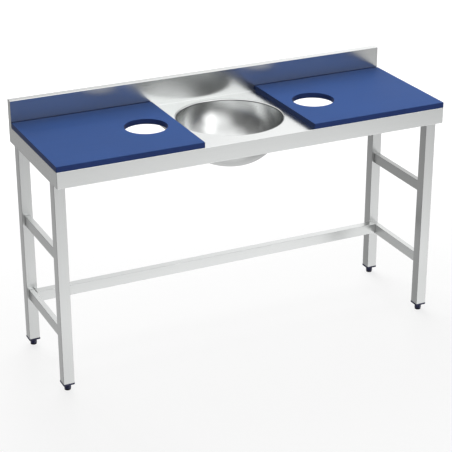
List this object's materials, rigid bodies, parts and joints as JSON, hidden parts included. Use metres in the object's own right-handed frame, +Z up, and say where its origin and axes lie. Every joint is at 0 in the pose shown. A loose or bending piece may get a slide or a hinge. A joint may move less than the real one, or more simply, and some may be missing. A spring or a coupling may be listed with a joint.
{
  "type": "sink table",
  "caption": "Stainless steel sink table with a splashback, a round bowl, lift-off blue boards over waste holes, open end frames and screw-adjusted feet.",
  "frame": {"origin": "on the floor, under the middle of the top's length and depth", "axes": "+X along the table's length, -Y towards the person working at it, +Z up"},
  "size_m": [1.5, 0.505, 0.95],
  "materials": {
    "satin_steel": "fine satin stainless sheet",
    "tube_steel": "satin stainless tube, brushed along its length",
    "bright_steel": "bright turned stainless",
    "zinc": "zinc plated steel",
    "blue_board": "blue polyethylene board with a fine matt grain",
    "navy_plastic": "navy blue moulded plastic",
    "black_rubber": "black rubber"
  },
  "bodies": {
    "table": {"worktop": "satin_steel", "splashback": "satin_steel", "splash_cap": "satin_steel", "bowl_collar": "satin_steel", "end_panel_left": "satin_steel", "end_panel_right": "satin_steel", "bowl": "satin_steel", "drain_body": "bright_steel", "drain_gasket": "black_rubber", "drain_lock_nut": "bright_steel", "board_peg_left_front": "bright_steel", "board_peg_left_back": "bright_steel", "board_peg_right_front": "bright_steel", "board_peg_right_back": "bright_steel", "stiffener_left_inner": "satin_steel", "stiffener_left_outer": "satin_steel", "stiffener_right_inner": "satin_steel", "stiffener_right_outer": "satin_steel", "leg_front_left": "tube_steel", "leg_front_right": "tube_steel", "leg_back_left": "tube_steel", "leg_back_right": "tube_steel", "top_rail_left": "tube_steel", "top_rail_right": "tube_steel", "middle_rail_left": "tube_steel", "middle_rail_right": "tube_steel", "lower_rail_left": "tube_steel", "lower_rail_right": "tube_steel", "rear_stretcher": "tube_steel", "frame_stud_left_front": "zinc", "frame_stud_left_back": "zinc", "frame_stud_right_front": "zinc", "frame_stud_right_back": "zinc", "frame_nut_left_front": "zinc", "frame_nut_left_back": "zinc", "frame_nut_right_front": "zinc", "frame_nut_right_back": "zinc", "leg_plug_front_left": "navy_plastic", "leg_plug_front_right": "navy_plastic", "leg_plug_back_left": "navy_plastic", "leg_plug_back_right": "navy_plastic", "threaded_insert_front_left": "zinc", "threaded_insert_front_right": "zinc", "threaded_insert_back_left": "zinc", "threaded_insert_back_right": "zinc"},
    "board_left": {"board_left": "blue_board"},
    "board_right": {"board_right": "blue_board"},
    "drain_strainer": {"drain_strainer": "bright_steel"},
    "foot_front_left": {"foot_sole_front_left": "black_rubber", "foot_hex_front_left": "navy_plastic", "foot_stud_front_left": "zinc"},
    "foot_front_right": {"foot_sole_front_right": "black_rubber", "foot_hex_front_right": "navy_plastic", "foot_stud_front_right": "zinc"},
    "foot_back_left": {"foot_sole_back_left": "black_rubber", "foot_hex_back_left": "navy_plastic", "foot_stud_back_left": "zinc"},
    "foot_back_right": {"foot_sole_back_right": "black_rubber", "foot_hex_back_right": "navy_plastic", "foot_stud_back_right": "zinc"}
  },
  "joints": [
    {"name": "board_left_lift", "type": "slide", "parent": "table", "child": "board_left", "axis": [0, 0, 1], "range_m": [0, 0.1]},
    {"name": "board_right_lift", "type": "slide", "parent": "table", "child": "board_right", "axis": [0, 0, 1], "range_m": [0, 0.1]},
    {"name": "strainer_lift", "type": "slide", "parent": "table", "child": "drain_strainer", "axis": [0, 0, 1], "range_m": [0, 0.2]},
    {"name": "foot_front_left_height", "type": "slide", "parent": "table", "child": "foot_front_left", "axis": [0, 0, -1], "range_m": [0, 0.02]},
    {"name": "foot_front_right_height", "type": "slide", "parent": "table", "child": "foot_front_right", "axis": [0, 0, -1], "range_m": [0, 0.02]},
    {"name": "foot_back_left_height", "type": "slide", "parent": "table", "child": "foot_back_left", "axis": [0, 0, -1], "range_m": [0, 0.02]},
    {"name": "foot_back_right_height", "type": "slide", "parent": "table", "child": "foot_back_right", "axis": [0, 0, -1], "range_m": [0, 0.02]}
  ]
}
